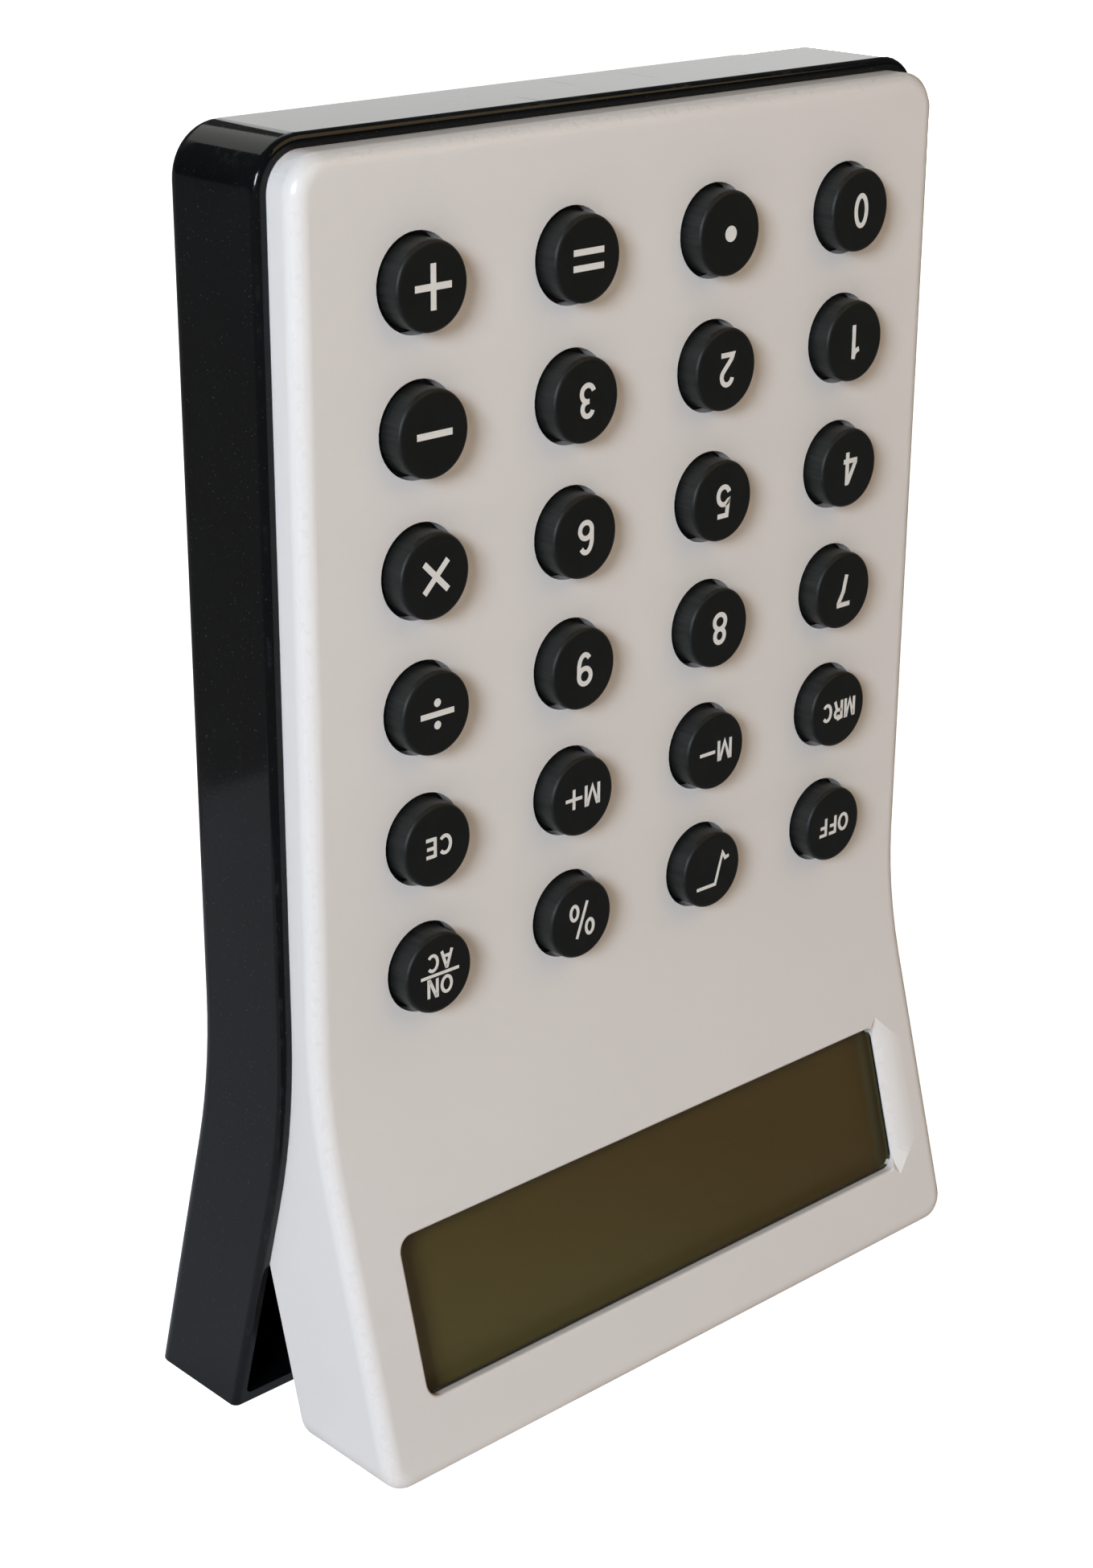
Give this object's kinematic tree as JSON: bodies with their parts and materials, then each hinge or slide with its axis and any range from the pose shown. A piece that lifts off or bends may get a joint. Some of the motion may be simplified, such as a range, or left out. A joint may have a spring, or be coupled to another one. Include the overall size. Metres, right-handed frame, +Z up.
{
  "type": "desk calculator",
  "caption": "Upright desk calculator: white case with round black keys, its display end leaning forward, nested in a black tray whose lower end leans back as a second foot.",
  "frame": {"origin": "centre of the footprint, on the surface it stands on", "axes": "+X across the keys, +Y from the keypad's face to the back, +Z up from the feet to the top edge"},
  "size_m": [0.1052, 0.0454, 0.1591],
  "materials": {
    "white_plastic": "satin gloss moulded plastic",
    "black_plastic": "polished black moulded plastic",
    "key_plastic": "satin black with a soft-touch skin",
    "screw_steel": "zinc-plated steel",
    "silicone": "translucent grey silicone",
    "carbon_rubber": "carbon-filled rubber",
    "board_laminate": "green laminate",
    "epoxy": "black epoxy",
    "capacitor_sleeve": "sleeved can",
    "cell_steel": "nickel-plated steel",
    "contact_metal": "plated spring brass",
    "clear_lens": "clear acrylic window",
    "display_glass": "liquid-crystal cell glass",
    "reflector_foil": "olive-grey reflective foil",
    "frame_plastic": "black moulded plastic",
    "ribbon_film": "amber film"
  },
  "bodies": {
    "case": {"front_shell": "white_plastic", "leg_cover": "white_plastic", "rear_shell": "black_plastic", "case_screws": "screw_steel", "cover_screws": "screw_steel", "board_screws": "screw_steel", "display_screws": "screw_steel", "keypad_mat": "silicone", "contact_pills": "carbon_rubber", "main_board": "board_laminate", "display_board": "board_laminate", "chip_blob": "epoxy", "capacitor": "capacitor_sleeve", "coin_cell": "cell_steel", "contact_negative": "contact_metal", "contact_positive": "contact_metal", "window_lens": "clear_lens", "lcd_front_glass": "display_glass", "lcd_rear_glass": "display_glass", "lcd_reflector": "reflector_foil", "lcd_frame": "frame_plastic", "zebra_strip": "carbon_rubber", "display_ribbon": "ribbon_film"},
    "hatch": {"battery_hatch": "black_plastic", "hatch_screw": "screw_steel"},
    "key_plus_body": {"key_plus": "key_plastic"},
    "key_equals_body": {"key_equals": "key_plastic"},
    "key_point_body": {"key_point": "key_plastic"},
    "key_0_body": {"key_0": "key_plastic"},
    "key_minus_body": {"key_minus": "key_plastic"},
    "key_3_body": {"key_3": "key_plastic"},
    "key_2_body": {"key_2": "key_plastic"},
    "key_1_body": {"key_1": "key_plastic"},
    "key_times_body": {"key_times": "key_plastic"},
    "key_6_body": {"key_6": "key_plastic"},
    "key_5_body": {"key_5": "key_plastic"},
    "key_4_body": {"key_4": "key_plastic"},
    "key_divide_body": {"key_divide": "key_plastic"},
    "key_9_body": {"key_9": "key_plastic"},
    "key_8_body": {"key_8": "key_plastic"},
    "key_7_body": {"key_7": "key_plastic"},
    "key_clear_entry_body": {"key_clear_entry": "key_plastic"},
    "key_memory_add_body": {"key_memory_add": "key_plastic"},
    "key_memory_subtract_body": {"key_memory_subtract": "key_plastic"},
    "key_memory_recall_body": {"key_memory_recall": "key_plastic"},
    "key_on_clear_body": {"key_on_clear": "key_plastic"},
    "key_percent_body": {"key_percent": "key_plastic"},
    "key_root_body": {"key_root": "key_plastic"},
    "key_off_body": {"key_off": "key_plastic"}
  },
  "joints": [
    {"name": "key_plus_press", "type": "slide", "parent": "case", "child": "key_plus_body", "axis": [0, 1, 0], "range_m": [0, 0.0014], "stiffness_N_per_m": 500},
    {"name": "key_equals_press", "type": "slide", "parent": "case", "child": "key_equals_body", "axis": [0, 1, 0], "range_m": [0, 0.0014], "stiffness_N_per_m": 500},
    {"name": "key_point_press", "type": "slide", "parent": "case", "child": "key_point_body", "axis": [0, 1, 0], "range_m": [0, 0.0014], "stiffness_N_per_m": 500},
    {"name": "key_0_press", "type": "slide", "parent": "case", "child": "key_0_body", "axis": [0, 1, 0], "range_m": [0, 0.0014], "stiffness_N_per_m": 500},
    {"name": "key_minus_press", "type": "slide", "parent": "case", "child": "key_minus_body", "axis": [0, 1, 0], "range_m": [0, 0.0014], "stiffness_N_per_m": 500},
    {"name": "key_3_press", "type": "slide", "parent": "case", "child": "key_3_body", "axis": [0, 1, 0], "range_m": [0, 0.0014], "stiffness_N_per_m": 500},
    {"name": "key_2_press", "type": "slide", "parent": "case", "child": "key_2_body", "axis": [0, 1, 0], "range_m": [0, 0.0014], "stiffness_N_per_m": 500},
    {"name": "key_1_press", "type": "slide", "parent": "case", "child": "key_1_body", "axis": [0, 1, 0], "range_m": [0, 0.0014], "stiffness_N_per_m": 500},
    {"name": "key_times_press", "type": "slide", "parent": "case", "child": "key_times_body", "axis": [0, 1, 0], "range_m": [0, 0.0014], "stiffness_N_per_m": 500},
    {"name": "key_6_press", "type": "slide", "parent": "case", "child": "key_6_body", "axis": [0, 1, 0], "range_m": [0, 0.0014], "stiffness_N_per_m": 500},
    {"name": "key_5_press", "type": "slide", "parent": "case", "child": "key_5_body", "axis": [0, 1, 0], "range_m": [0, 0.0014], "stiffness_N_per_m": 500},
    {"name": "key_4_press", "type": "slide", "parent": "case", "child": "key_4_body", "axis": [0, 1, 0], "range_m": [0, 0.0014], "stiffness_N_per_m": 500},
    {"name": "key_divide_press", "type": "slide", "parent": "case", "child": "key_divide_body", "axis": [0, 1, 0], "range_m": [0, 0.0014], "stiffness_N_per_m": 500},
    {"name": "key_9_press", "type": "slide", "parent": "case", "child": "key_9_body", "axis": [0, 1, 0], "range_m": [0, 0.0014], "stiffness_N_per_m": 500},
    {"name": "key_8_press", "type": "slide", "parent": "case", "child": "key_8_body", "axis": [0, 1, 0], "range_m": [0, 0.0014], "stiffness_N_per_m": 500},
    {"name": "key_7_press", "type": "slide", "parent": "case", "child": "key_7_body", "axis": [0, 1, 0], "range_m": [0, 0.0014], "stiffness_N_per_m": 500},
    {"name": "key_clear_entry_press", "type": "slide", "parent": "case", "child": "key_clear_entry_body", "axis": [0, 1, 0], "range_m": [0, 0.0014], "stiffness_N_per_m": 500},
    {"name": "key_memory_add_press", "type": "slide", "parent": "case", "child": "key_memory_add_body", "axis": [0, 1, 0], "range_m": [0, 0.0014], "stiffness_N_per_m": 500},
    {"name": "key_memory_subtract_press", "type": "slide", "parent": "case", "child": "key_memory_subtract_body", "axis": [0, 1, 0], "range_m": [0, 0.0014], "stiffness_N_per_m": 500},
    {"name": "key_memory_recall_press", "type": "slide", "parent": "case", "child": "key_memory_recall_body", "axis": [0, 1, 0], "range_m": [0, 0.0014], "stiffness_N_per_m": 500},
    {"name": "key_on_clear_press", "type": "slide", "parent": "case", "child": "key_on_clear_body", "axis": [0, 1, 0], "range_m": [0, 0.0014], "stiffness_N_per_m": 500},
    {"name": "key_percent_press", "type": "slide", "parent": "case", "child": "key_percent_body", "axis": [0, 1, 0], "range_m": [0, 0.0014], "stiffness_N_per_m": 500},
    {"name": "key_root_press", "type": "slide", "parent": "case", "child": "key_root_body", "axis": [0, 1, 0], "range_m": [0, 0.0014], "stiffness_N_per_m": 500},
    {"name": "key_off_press", "type": "slide", "parent": "case", "child": "key_off_body", "axis": [0, 1, 0], "range_m": [0, 0.0014], "stiffness_N_per_m": 500},
    {"name": "hatch_removal", "type": "slide", "parent": "case", "child": "hatch", "axis": [0, 1, 0], "range_m": [0, 0.03]}
  ]
}
